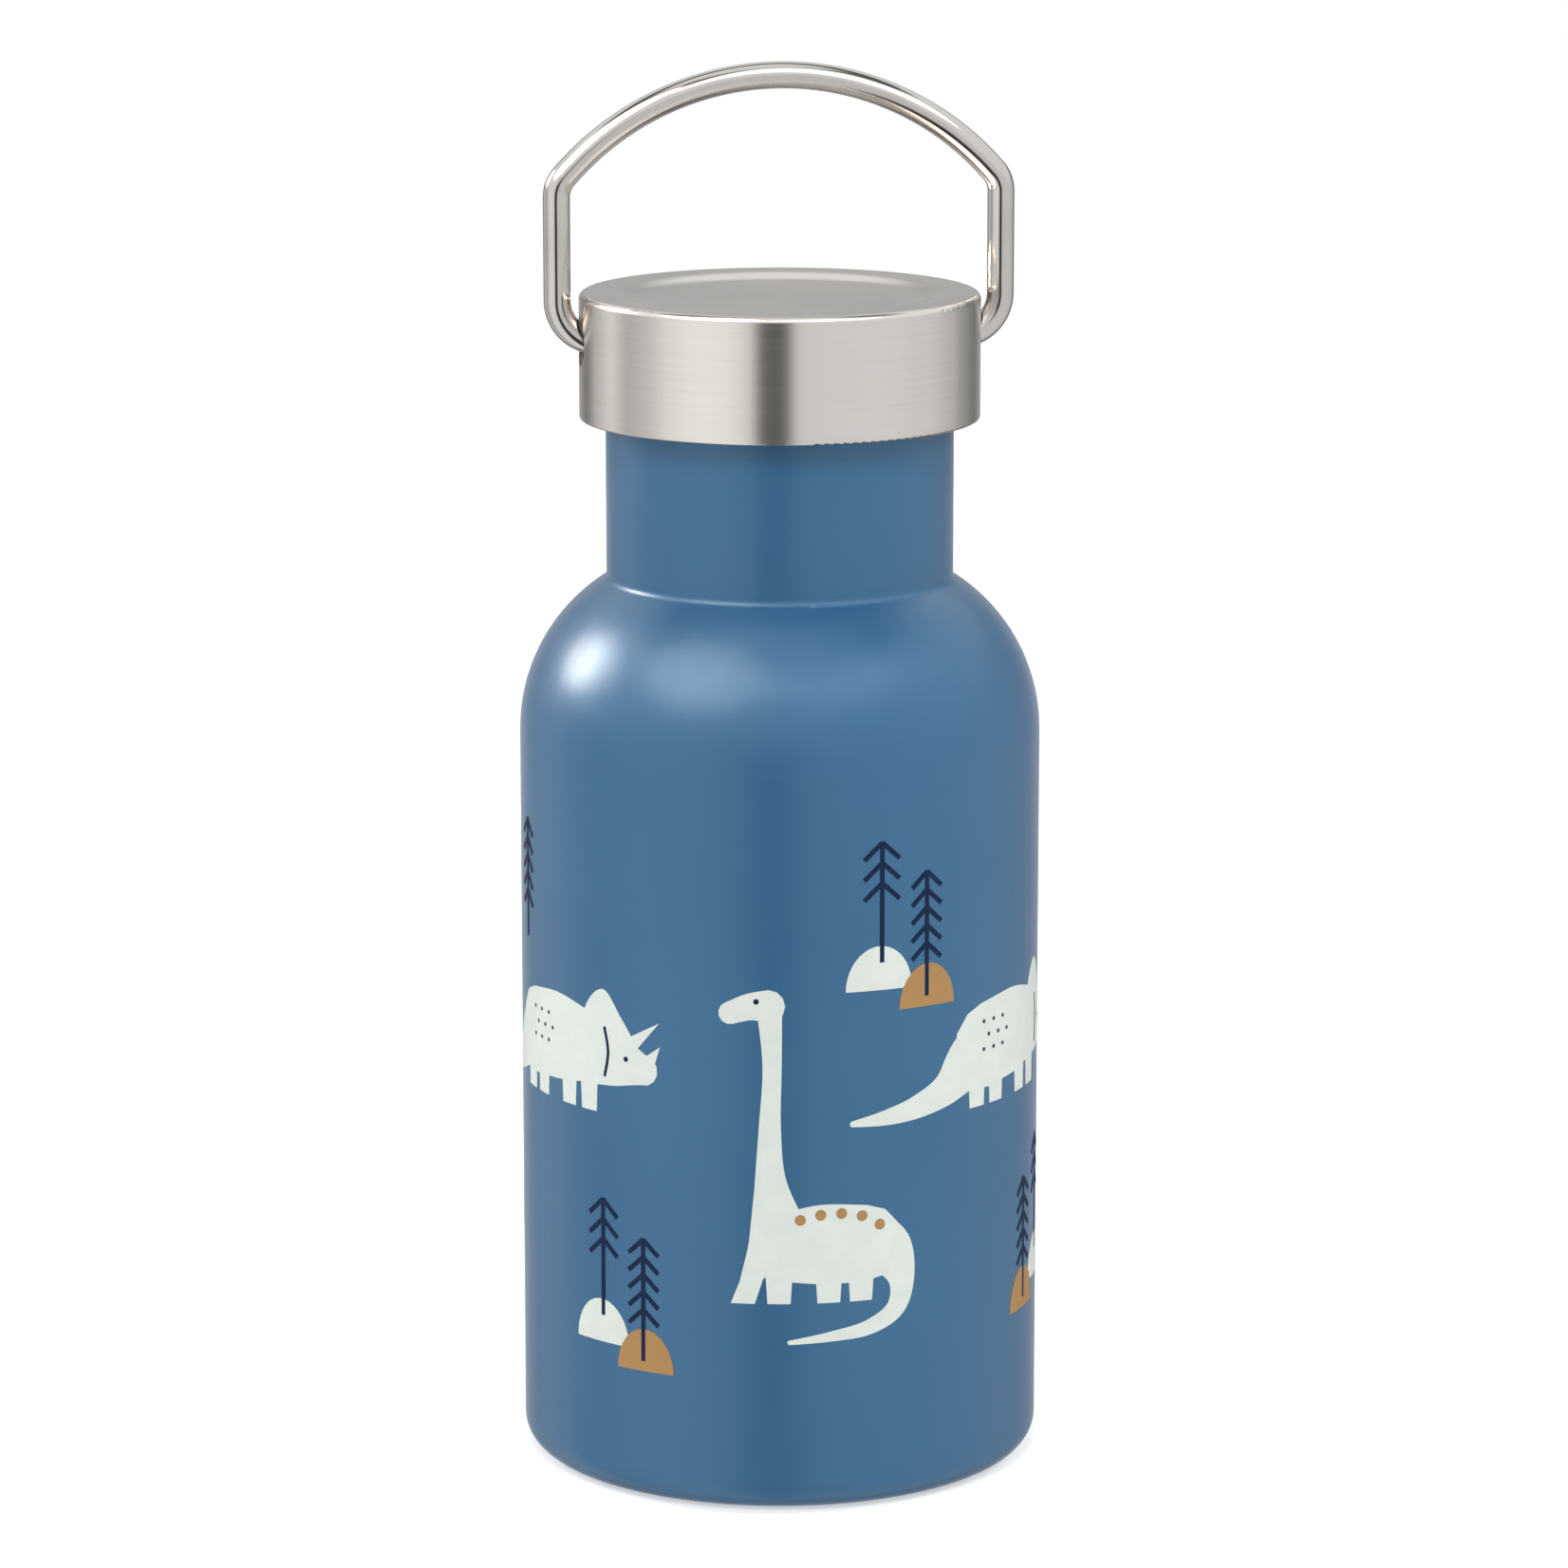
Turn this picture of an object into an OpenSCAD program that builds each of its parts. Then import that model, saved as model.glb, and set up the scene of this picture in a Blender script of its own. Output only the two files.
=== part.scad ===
// Double-wall steel water bottle for children, with a screw lid and a swinging bail handle.
// Millimetres. The bottle stands on z = 0 with its axis on Z, and the bail lies in the XZ plane.

/* [Body] */
// Outside diameter of the straight wall
body_d = 70; // [60:0.5:90]
// Height of the top of the straight wall above the base
wall_top = 99.6; // [70:0.2:140]
// Radius of the rounded shoulder
shoulder_r = 24.1; // [18:0.1:26]
// Outside diameter of the neck
neck_d = 46.5; // [38:0.5:56]
// Height of the neck, from the top of the shoulder to the drinking rim
neck_h = 26.1; // [22:0.1:36]
// Radius of the small hollow fillet where the neck meets the shoulder
crease_r = 1.2; // [0.8:0.1:2]
// Radius of the rounded edge at the base
base_edge_r = 4.3; // [3:0.1:6]
// Sheet thickness of the outer shell
shell_t = 0.5; // [0.4:0.05:0.8]

/* [Foot] */
// Width of the ring that the bottle stands on
foot_w = 2.5; // [2:0.1:4]
// Radius of the foot's inner edge
foot_edge_r = 1; // [0.7:0.1:1.2]
// Height of the lip that holds the base cover
foot_lip_h = 3.2; // [2.6:0.1:3.6]
// How far the base cover sits above the table
cover_recess = 1.6; // [1:0.1:2]
// Diameter of the raised middle of the base cover
cover_step_d = 37.2; // [30:0.2:44]
// Height of the raised middle of the base cover
cover_step_h = 0.5; // [0.3:0.1:0.8]
// Sheet thickness of the base cover and of the vacuum base
base_t = 0.5; // [0.4:0.05:0.7]

/* [Vacuum flask] */
// Sheet thickness of the inner liner
liner_t = 0.4; // [0.3:0.05:0.6]
// Vacuum gap between the shell and the liner at the wall
wall_gap = 2.4; // [1.6:0.1:3.5]
// Vacuum gap between the shell and the liner at the neck
neck_gap = 1.1; // [0.8:0.1:1.5]
// Room between the foot's lip and the vacuum base
base_room = 1.4; // [1:0.1:2]
// Vacuum gap between the vacuum base and the liner's base
base_gap = 3; // [2.6:0.1:5]
// Radius of the liner's bottom edge
liner_edge_r = 5; // [3:0.1:7]
// Height of the flange that welds the vacuum base to the shell
weld_flange_h = 3; // [2:0.1:4]
// Diameter of the evacuation hole
port_d = 1.5; // [1:0.1:2]
// Diameter of the dimple round the evacuation hole
dimple_d = 12; // [9:0.5:14]
// Depth of the dimple
dimple_h = 1; // [0.8:0.1:1.4]
// Diameter of the glass bead that seals the hole
seal_d = 7; // [5:0.5:8]
// Height of the glass bead
seal_h = 0.8; // [0.6:0.1:1.2]
// Diameter of the getter pellet
getter_d = 8; // [6:0.5:10]
// Height of the getter pellet
getter_h = 1.1; // [0.8:0.1:1.4]
// Distance of the getter from the bottle's axis
getter_pos = 15; // [12:0.5:18]
// Sheet thickness of the getter's tray
tray_t = 0.3; // [0.2:0.05:0.4]
// Height of the tray's rim above its floor
tray_rim_h = 0.8; // [0.5:0.1:1]
// Thickness of the heat-reflecting foil round the liner
foil_t = 0.15; // [0.1:0.05:0.2]
// Bare margin of the liner's straight wall above and below the foil
foil_margin = 2; // [1:0.5:6]

/* [Thread] */
// Rise of the thread in one turn
thread_pitch = 4; // [3.5:0.1:5]
// Height of each thread ridge
thread_depth = 1.1; // [0.8:0.05:1.3]
// Length of each thread ridge, in turns
thread_turns = 1.25; // [1:0.05:1.5]
// Width of a thread ridge at its root
thread_root_w = 2.2; // [1.8:0.05:2.3]
// Width of a thread ridge at its crest
thread_crest_w = 1.2; // [0.8:0.05:1.3]
// Radial clearance between the lid's thread and the neck
thread_gap = 0.35; // [0.3:0.05:0.5]
// Depth of the thread's highest point below the drinking rim
thread_below_rim = 3; // [2.6:0.1:4]

/* [Lid] */
// Radial clearance between the neck and the lid's skirt
skirt_gap = 2.9; // [2:0.1:4]
// Sheet thickness of the lid's steel cap
cap_t = 0.6; // [0.5:0.05:0.8]
// How far the lid's skirt hangs below the drinking rim
skirt_drop = 4.6; // [3:0.1:8]
// Height of the lid's top above the bail pivot
pivot_drop = 6.2; // [5.8:0.1:8]
// Radius of the lid's outer top edge
cap_edge_r = 0.8; // [0.7:0.1:1.6]
// Radius of the skirt's lower outside edge
skirt_edge_r = 0.3; // [0.2:0.05:0.4]
// Depth of the recess in the lid's top
recess_h = 0.8; // [0.5:0.1:1.2]
// Width of the flat ring round the recess, measured from the lid's side
recess_ring_w = 4; // [3:0.1:5]
// Width of the recess's soft slope
recess_slope_w = 5; // [2.5:0.1:7]
// Thickness of the sealing gasket
gasket_t = 1.8; // [1.5:0.1:2.4]
// Size of the chamfer along the gasket's edges
gasket_edge = 0.4; // [0.2:0.1:0.6]
// Depth of the plug below the gasket's seat
plug_h = 13.6; // [12.5:0.1:16]
// Wall thickness of the plastic core
core_wall = 2.2; // [1.8:0.1:2.6]
// Thickness of the web that carries the gasket
core_web = 1.8; // [1.5:0.1:2.4]
// Thickness of the core under the bail's side holes
side_hole_web = 0.8; // [0.6:0.1:1.5]
// Thickness of the cover that closes the plug
core_cover_t = 1.6; // [1.2:0.1:2.4]
// Length of the cover's spigot inside the plug
spigot_h = 2; // [1.5:0.1:3]

/* [Bail] */
// Diameter of the bail's round bar
bar_d = 3.6; // [3:0.1:4.4]
// Clear gap between the lid's side and the bail's leg
bail_gap = 1.2; // [0.9:0.1:2.5]
// Height of the top of each straight leg above the pivot
leg_h = 19.2; // [18:0.1:30]
// Angle that the bar turns through at each corner, in degrees
corner_deg = 41; // [35:1:46]
// Radius of the corner between leg and arch
corner_r = 4; // [3:0.1:6]
// Radius of the hook that turns into the lid
hook_r = 5.5; // [4:0.1:6]
// Clearance round the hook where it passes through the lid's side
side_gap = 0.9; // [0.7:0.1:1.2]
// Radial running clearance of the bar in its bushes
bush_clearance = 0.06; // [0.03:0.01:0.1]
// Wall thickness of a bush
bush_t = 1; // [0.8:0.1:1.2]
// Length of the bar's straight end inside its bush
pin_len = 3.3; // [3:0.1:4]
// Room between the bar's end and the inner end of its bush
pin_room = 0.3; // [0.2:0.1:0.6]
// How far a bush's mouth sits inside the start of the hook
bush_inset = 0.1; // [0.05:0.05:0.3]
// Wall thickness of the core's boss round a bush
boss_wall = 1.2; // [1:0.1:1.6]

/* [Hidden] */
$fn = 128;

// A hair of room between pieces of one body that are pressed together
snug = 0.05;
// Smallest radius of the cap's inside corner
cap_corner_min = 0.1;
// Room between the gasket and the pieces that turn against it
slip = 0.3;
// Length by which a cut runs past what it cuts
over = 1;
// Length by which two stretches of one piece run into each other
merge = 0.2;

// Rounds a length to a hundredth of a millimetre
function neat(x) = round(x * 100) / 100;

// Body
body_r = body_d / 2;
neck_r = neck_d / 2;
shoulder_x = body_r - shoulder_r;
shoulder_top = wall_top + sqrt(pow(shoulder_r, 2) - pow(neck_r - shoulder_x, 2));
rim_z = neat(shoulder_top + neck_h);

// Foot and vacuum base
foot_in = body_r - base_edge_r - foot_w;
vacuum_base_z = foot_lip_h + base_room;
vacuum_base_r = body_r - shell_t - snug;
liner_z = vacuum_base_z + base_t + base_gap;

// Liner
liner_inset = shell_t + wall_gap;
liner_neck_inset = shell_t + neck_gap;
liner_open_r = body_r - liner_inset - liner_edge_r;
throat_r = neck_r - liner_neck_inset - liner_t;
rim_bead_r = (neck_r - throat_r) / 2;
rim_bead_z = neat(rim_z - rim_bead_r);

// Thread, as a helix of the plug's ridge and one half a pitch higher for the neck's ridge
thread_step_deg = 7.5;
thread_bite = 0.3;
thread_end_sink = 0.06;
thread_taper_steps = 5;
plug_r = throat_r - thread_depth;
plug_body_r = plug_r - thread_gap;
neck_thread_z = rim_z - thread_below_rim - thread_root_w / 2 - thread_turns * thread_pitch;
neck_thread_deg = -90;
plug_thread_z = neck_thread_z - thread_pitch / 2 - thread_pitch * neck_thread_deg / 360;

// Lid
bar_r = bar_d / 2;
bush_bore_r = bar_r + bush_clearance;
bush_r = bush_bore_r + bush_t;
seat_z = rim_z + gasket_t + snug;
lid_r = neck_r + skirt_gap + cap_t;
leg_x = lid_r + bail_gap + bar_r;
hook_x = leg_x - hook_r;
// The hook has begun to rise where it passes through the lid's side, so the hole is wider than the bar
hook_rise = hook_r - sqrt(pow(hook_r, 2) - pow(lid_r - hook_x, 2));
side_hole_r = neat(bar_r + hook_rise + side_gap);
pivot_z = seat_z + side_hole_web + side_hole_r;
lid_top = pivot_z + pivot_drop;
lid_bottom = rim_z - skirt_drop;
cap_in_r = lid_r - cap_t;
cap_in_edge_r = max(cap_edge_r - cap_t, cap_corner_min);
recess_r = lid_r - recess_ring_w;
core_top = lid_top - recess_h - cap_t - snug;
core_r = cap_in_r - snug;
plug_z = seat_z - plug_h;
cavity_r = plug_body_r - core_wall;
cavity_top = core_top - core_wall;
boss_w = 2 * (bush_r + boss_wall);

// Bail
leg_top = pivot_z + leg_h;
arch_r = corner_r + (leg_x - corner_r) / cos(corner_deg);
arch_z = leg_top - (leg_x - corner_r) * tan(corner_deg);
bush_out_x = hook_x - bush_inset;
bush_in_x = bush_out_x - pin_len - pin_room;

// Half profile of a closed vessel that lies inside the bottle's outline by inset, or by neck_inset
// along the neck
module vessel_profile(inset, neck_inset, bottom, edge_r, top) {
    wall_r = body_r - inset;
    arc_r = shoulder_r - inset;
    throat = neck_r - neck_inset;
    fillet_r = crease_r + neck_inset;
    fillet_x = throat + fillet_r;
    fillet_z = wall_top + sqrt(pow(arc_r + fillet_r, 2) - pow(fillet_x - shoulder_x, 2));
    // A point just inside the shoulder, on the line between the two arcs' centres
    touch = (arc_r - merge) / (arc_r + fillet_r);
    touch_x = shoulder_x + touch * (fillet_x - shoulder_x);
    touch_z = wall_top + touch * (fillet_z - wall_top);
    translate([0, bottom + edge_r])
        square([wall_r, wall_top - bottom - edge_r]);
    translate([0, bottom])
        square([wall_r - edge_r, edge_r + over]);
    translate([wall_r - edge_r, bottom + edge_r])
        circle(edge_r);
    intersection() {
        translate([shoulder_x, wall_top])
            circle(arc_r);
        translate([0, wall_top - over])
            square([body_r, shoulder_r + over]);
    }
    translate([0, wall_top])
        square([throat, top - wall_top]);
    difference() {
        polygon([[throat - over / 2, touch_z], [touch_x, touch_z], [fillet_x, fillet_z],
                 [throat - over / 2, fillet_z]]);
        translate([fillet_x, fillet_z])
            circle(fillet_r);
    }
}

// Half profile of the foot's inner lip, rounded where it meets the table
module foot_lip_profile() {
    translate([foot_in, foot_edge_r])
        square([shell_t, foot_lip_h - foot_edge_r]);
    intersection() {
        difference() {
            translate([foot_in + foot_edge_r, foot_edge_r])
                circle(foot_edge_r);
            translate([foot_in + foot_edge_r, foot_edge_r])
                circle(foot_edge_r - shell_t);
        }
        translate([foot_in, 0])
            square([foot_edge_r, foot_edge_r]);
    }
}

// Powder-coated outer shell, with its shoulder, neck and foot
module outer_shell() {
    color("steelblue")
    rotate_extrude() {
        difference() {
            vessel_profile(0, 0, 0, base_edge_r, rim_bead_z);
            vessel_profile(shell_t, shell_t, shell_t, base_edge_r - shell_t, rim_z + over);
            translate([0, -over])
                square([foot_in + foot_edge_r, shell_t + 2 * over]);
        }
        foot_lip_profile();
    }
}

// Steel disc pressed into the foot, with a shallow stamped step
module base_cover() {
    cover_r = foot_in - snug;
    step_r = cover_step_d / 2;
    slope_r = step_r + cover_step_h;
    low = cover_recess;
    high = cover_recess + cover_step_h;
    color("silver")
    rotate_extrude() {
        polygon([[0, high], [step_r, high], [slope_r, low], [cover_r, low], [cover_r, foot_lip_h],
                 [cover_r - base_t, foot_lip_h], [cover_r - base_t, low + base_t],
                 [slope_r, low + base_t], [step_r, high + base_t], [0, high + base_t]]);
    }
}

// Inner bottom plate of the shell, with the dimpled hole that the air is drawn out through
module vacuum_base() {
    z = vacuum_base_z;
    slope_w = 1;
    dimple_r = dimple_d / 2;
    color("gainsboro")
    rotate_extrude() {
        polygon([[port_d / 2, z + dimple_h], [dimple_r - slope_w, z + dimple_h], [dimple_r, z],
                 [vacuum_base_r, z], [vacuum_base_r, z + weld_flange_h],
                 [vacuum_base_r - base_t, z + weld_flange_h], [vacuum_base_r - base_t, z + base_t],
                 [dimple_r, z + base_t], [dimple_r - slope_w, z + dimple_h + base_t],
                 [port_d / 2, z + dimple_h + base_t]]);
    }
}

// Glass bead melted into the evacuation hole
module vacuum_seal() {
    z = vacuum_base_z + dimple_h;
    color("darkseagreen") {
        translate([0, 0, z - seal_h])
            cylinder(h = seal_h, d1 = seal_d - 2 * seal_h, d2 = seal_d);
        translate([0, 0, z - merge])
            cylinder(h = base_t + merge, d = port_d - 2 * snug);
    }
}

// Small steel tray that holds the getter on the vacuum base
module getter_tray() {
    tray_r = getter_d / 2 + snug + tray_t;
    color("gray")
    translate([getter_pos, 0, vacuum_base_z + base_t])
        difference() {
            cylinder(h = tray_t + tray_rim_h, r = tray_r);
            translate([0, 0, tray_t])
                cylinder(h = getter_h + over, r = tray_r - tray_t);
        }
}

// Pellet that soaks up the last gas in the vacuum
module getter() {
    color("dimgray")
    translate([getter_pos, 0, vacuum_base_z + base_t + tray_t])
        cylinder(h = getter_h, d = getter_d);
}

// Thin metal foil wrapped round the liner's straight wall
module heat_foil() {
    foil_in_r = body_r - liner_inset + snug;
    foil_bottom = liner_z + liner_edge_r + foil_margin;
    color("orange")
    translate([0, 0, foil_bottom])
        difference() {
            cylinder(h = wall_top - foil_margin - foil_bottom, r = foil_in_r + foil_t);
            translate([0, 0, -over])
                cylinder(h = wall_top, r = foil_in_r);
        }
}

// Point of a thread ridge's section at step i: radius r, height dz from the ridge's middle
function helix_point(r, dz, i, z0, deg0) =
    let (a = deg0 + i * thread_step_deg)
    [r * cos(a), r * sin(a), z0 + i * thread_step_deg * thread_pitch / 360 + dz];

// One thread ridge: a tapered-in bar that climbs round the axis. wall_r is the wall that it
// stands on, root_r lies inside that wall and crest_r is its highest point.
module thread_ridge(wall_r, root_r, crest_r, z0, deg0) {
    steps = round(thread_turns * 360 / thread_step_deg);
    low_r = wall_r + (root_r - wall_r) * thread_end_sink / thread_bite;
    root_h = thread_root_w / 2;
    crest_h = thread_crest_w / 2;
    points = [for (i = [0 : steps])
        let (s = min(1, i / thread_taper_steps, (steps - i) / thread_taper_steps))
        let (r = low_r + (crest_r - low_r) * s)
        each [helix_point(root_r, -root_h, i, z0, deg0), helix_point(r, -crest_h, i, z0, deg0),
              helix_point(r, crest_h, i, z0, deg0), helix_point(root_r, root_h, i, z0, deg0)]];
    sides = [for (i = [0 : steps - 1], k = [0 : 3])
        let (a = 4 * i + k, b = 4 * i + (k + 1) % 4)
        each [[a, b, b + 4], [a, b + 4, a + 4]]];
    ends = [[0, 3, 2], [0, 2, 1], [4 * steps, 4 * steps + 1, 4 * steps + 2],
            [4 * steps, 4 * steps + 2, 4 * steps + 3]];
    faces = concat(sides, ends);
    polyhedron(points, crest_r > root_r ? faces : [for (f = faces) [f[2], f[1], f[0]]], convexity = 6);
}

// Steel inner vessel, with its rolled thread and the bead of the drinking rim
module inner_liner() {
    color("lightgray") {
        rotate_extrude() {
            difference() {
                vessel_profile(liner_inset, liner_neck_inset, liner_z, liner_edge_r, rim_bead_z);
                vessel_profile(liner_inset + liner_t, liner_neck_inset + liner_t,
                               liner_z + liner_t, liner_edge_r - liner_t, rim_z + over);
                translate([0, liner_z - over])
                    square([liner_open_r, liner_t + 2 * over]);
            }
            intersection() {
                translate([neck_r - rim_bead_r, rim_bead_z])
                    circle(rim_bead_r);
                translate([0, rim_bead_z])
                    square([neck_r + over, rim_bead_r + over]);
            }
        }
        thread_ridge(throat_r, throat_r + thread_bite, plug_r, neck_thread_z, neck_thread_deg);
    }
}

// Disc welded into the bottom of the liner
module liner_base() {
    color("lightgray")
    translate([0, 0, liner_z])
        cylinder(h = liner_t, r = liner_open_r - snug / 2);
}

// Solid half profile of the lid's cap: rounded outer edge, flat ring and recessed middle
module cap_profile(r, edge_r, top, bottom, bottom_r) {
    slope_r = (pow(recess_slope_w, 2) + pow(recess_h, 2)) / (4 * recess_h);
    middle_x = recess_r - recess_slope_w / 2;
    floor_x = recess_r - recess_slope_w;
    translate([0, bottom + bottom_r])
        square([r, top - 2 * recess_h - bottom - bottom_r]);
    translate([recess_r, bottom + bottom_r])
        square([r - recess_r, top - edge_r - bottom - bottom_r]);
    translate([0, bottom])
        square([r - bottom_r, bottom_r + over]);
    translate([r - bottom_r, bottom + bottom_r])
        circle(bottom_r);
    translate([r - edge_r, top - edge_r])
        circle(edge_r);
    translate([recess_r, top - edge_r - over])
        square([r - edge_r - recess_r, edge_r + over]);
    intersection() {
        translate([recess_r, top - slope_r])
            circle(slope_r);
        translate([middle_x, top - 2 * recess_h])
            square([recess_slope_w / 2, 3 * recess_h]);
    }
    difference() {
        translate([floor_x, top - 2 * recess_h])
            square([recess_slope_w / 2, 2 * recess_h]);
        translate([floor_x, top - recess_h + slope_r])
            circle(slope_r);
    }
    translate([0, top - 2 * recess_h])
        square([floor_x, recess_h]);
}

// Brushed steel cap with a hole each side for the bail
module lid_cap() {
    color("silver")
    difference() {
        rotate_extrude() {
            difference() {
                cap_profile(lid_r, cap_edge_r, lid_top, lid_bottom, skirt_edge_r);
                cap_profile(cap_in_r, cap_in_edge_r, lid_top - cap_t, lid_bottom - over,
                            skirt_edge_r);
            }
        }
        for (side = [-1, 1])
            translate([side * lid_r, 0, pivot_z])
                rotate([0, 90, 0])
                cylinder(h = 2 * (cap_t + over), r = side_hole_r, center = true);
    }
}

// Half profile of the plastic core: hollow plug, gasket web, outer ring and top plate
module core_profile() {
    difference() {
        union() {
            translate([0, seat_z])
                square([core_r, core_top - seat_z]);
            translate([0, plug_z])
                square([plug_body_r, plug_h + over]);
        }
        translate([0, plug_z - over])
            square([cavity_r, cavity_top - plug_z + over]);
        translate([plug_body_r, seat_z + core_web])
            square([core_r - core_wall - plug_body_r, core_top - seat_z]);
    }
}

// Moulded core: screws into the neck, carries the gasket and holds both bail bushes
module lid_core() {
    color("whitesmoke")
    difference() {
        union() {
            rotate_extrude()
                core_profile();
            for (side = [0, 180])
                rotate([0, 0, side])
                intersection() {
                    translate([plug_body_r - core_wall / 2, -boss_w / 2, seat_z])
                        cube([core_r, boss_w, core_top - seat_z]);
                    translate([0, 0, seat_z])
                        cylinder(h = core_top - seat_z, r = core_r);
                }
            thread_ridge(plug_body_r, plug_body_r - thread_bite, throat_r - thread_gap,
                         plug_thread_z, 0);
        }
        for (side = [0, 180])
            rotate([0, 0, side])
            translate([0, 0, pivot_z])
                rotate([0, 90, 0]) {
                translate([0, 0, bush_in_x])
                    cylinder(h = core_r, r = bush_r + snug / 2);
                translate([0, 0, bush_out_x])
                    cylinder(h = core_r, r = side_hole_r);
            }
    }
}

// Insulating foam inside the plug
module core_foam() {
    foam_z = plug_z + spigot_h + snug;
    color("lemonchiffon")
    translate([0, 0, foam_z])
        cylinder(h = cavity_top - foam_z - snug, r = cavity_r - snug);
}

// Cover welded over the plug's open end
module core_cover() {
    cover_edge = 0.6;
    color("white")
    rotate_extrude() {
        polygon([[0, plug_z - core_cover_t], [plug_body_r - 2 * cover_edge, plug_z - core_cover_t],
                 [plug_body_r - cover_edge, plug_z - core_cover_t + cover_edge],
                 [plug_body_r - cover_edge, plug_z], [cavity_r - snug, plug_z],
                 [cavity_r - snug, plug_z + spigot_h], [cavity_r - core_wall, plug_z + spigot_h],
                 [cavity_r - core_wall, plug_z], [0, plug_z]]);
    }
}

// Silicone ring that seals on the drinking rim
module lid_gasket() {
    edge = gasket_edge;
    in_r = plug_body_r + slip;
    low = rim_z + snug / 2;
    high = seat_z - snug;
    color("ivory")
    rotate_extrude() {
        polygon([[in_r + edge, low], [neck_r - edge, low], [neck_r, low + edge],
                 [neck_r, high - edge], [neck_r - edge, high], [in_r + edge, high],
                 [in_r, high - edge], [in_r, low + edge]]);
    }
}

// Plastic bush that the bail's end turns in
module bush(side) {
    color("slategray")
    rotate([0, 0, side])
    translate([bush_in_x + snug / 2, 0, pivot_z])
        rotate([0, 90, 0])
        difference() {
            cylinder(h = bush_out_x - bush_in_x - snug, r = bush_r);
            translate([0, 0, -over])
                cylinder(h = bush_out_x - bush_in_x + 2 * over, r = bush_bore_r);
        }
}

module bush_left() {
    bush(180);
}

module bush_right() {
    bush(0);
}

// Moves in two steps, first by a round length and then by the rest, so that a long decimal keeps
// all its digits and the bar's stretches meet face to face
module shift(v) {
    round_v = [for (c = v) neat(c)];
    translate(round_v)
        translate(v - round_v)
        children();
}

// Bent stretch of the bail's bar in the XZ plane, of the given centre line radius
module bar_bend(x, z, r, from_deg, sweep_deg) {
    shift([x, 0, z])
        rotate([90, 0, 0])
        rotate_extrude(angle = sweep_deg, start = from_deg)
        shift([r, 0, 0])
        circle(bar_r);
}

// One leg of the bail: straight end, hook, leg and corner
module bail_leg() {
    end_chamfer = 0.4;
    translate([hook_x - pin_len, 0, pivot_z])
        rotate([0, 90, 0]) {
        cylinder(h = end_chamfer, r1 = bar_r - end_chamfer, r2 = bar_r);
        translate([0, 0, end_chamfer])
            cylinder(h = pin_len - end_chamfer, r = bar_r);
    }
    bar_bend(hook_x, pivot_z + hook_r, hook_r, -90, 90);
    translate([leg_x, 0, pivot_z + hook_r])
        cylinder(h = leg_top - pivot_z - hook_r, r = bar_r);
    bar_bend(leg_x - corner_r, leg_top, corner_r, 0, corner_deg);
}

// Bail handle, bent from one polished bar
module bail_handle() {
    color("gainsboro") {
        for (side = [0, 180])
            rotate([0, 0, side])
                bail_leg();
        bar_bend(0, arch_z, arch_r, corner_deg, 180 - 2 * corner_deg);
    }
}

outer_shell();
base_cover();
vacuum_base();
vacuum_seal();
getter_tray();
getter();
heat_foil();
inner_liner();
liner_base();
lid_cap();
lid_core();
core_foam();
core_cover();
lid_gasket();
bush_left();
bush_right();
bail_handle();
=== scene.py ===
"""Looks of a small double-wall steel bottle: a blue powder coat with printed animals and trees, a
brushed steel screw lid and a polished bail. Metres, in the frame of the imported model."""

import math

import bmesh
import bpy
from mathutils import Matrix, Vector
from mathutils.geometry import delaunay_2d_cdt


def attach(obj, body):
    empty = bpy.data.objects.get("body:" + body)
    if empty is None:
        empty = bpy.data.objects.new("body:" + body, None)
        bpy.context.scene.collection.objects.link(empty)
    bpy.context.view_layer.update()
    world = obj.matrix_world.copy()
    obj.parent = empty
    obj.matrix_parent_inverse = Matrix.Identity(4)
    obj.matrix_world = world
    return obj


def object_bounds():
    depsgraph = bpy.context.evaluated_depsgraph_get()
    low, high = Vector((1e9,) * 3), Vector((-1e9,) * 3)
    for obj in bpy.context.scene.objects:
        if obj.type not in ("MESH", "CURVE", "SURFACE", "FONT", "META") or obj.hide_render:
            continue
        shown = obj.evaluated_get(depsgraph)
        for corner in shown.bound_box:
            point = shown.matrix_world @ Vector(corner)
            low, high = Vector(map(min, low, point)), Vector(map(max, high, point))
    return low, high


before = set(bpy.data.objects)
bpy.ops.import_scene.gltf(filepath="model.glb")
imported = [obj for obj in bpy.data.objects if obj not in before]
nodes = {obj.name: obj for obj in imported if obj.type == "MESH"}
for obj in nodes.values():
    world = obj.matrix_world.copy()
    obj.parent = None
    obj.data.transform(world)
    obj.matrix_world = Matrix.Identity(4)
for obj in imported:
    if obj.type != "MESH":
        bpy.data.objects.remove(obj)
cad_low, cad_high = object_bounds()

MM = 0.001

# ------------------------------------------------------------------ view and light

CAMERA_AZIMUTH = math.radians(-8)
CAMERA_PITCH = 0.204
CAMERA_DISTANCE = 0.8387
CAMERA_HEIGHT = 0.2652
CAMERA_LENS = 145.6
CAMERA_SHIFT = 0.0027
SENSOR_WIDTH = 36

FLOOR_RADIUS = 2.5
FLOOR_DROP = 0.0001

# Brightness of the studio round the bottle, as (azimuth in degrees from the camera, to the right,
# brightness): two large soft panels with a dark gap at the camera, and dark flags behind each side
PANELS = [
    (-180, 0.42), (-168, 0.38), (-146, 0.20), (-126, 0.58), (-113, 0.76), (-98, 0.48), (-82, 0.64),
    (-66, 0.92), (-48, 1.03), (-34, 1.01), (-18, 0.86), (-9.5, 0.05), (2.5, 0.05), (11, 0.78),
    (60, 0.82), (95, 0.76), (115, 0.60), (130, 0.36), (148, 0.20), (168, 0.38), (180, 0.42),
]
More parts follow.
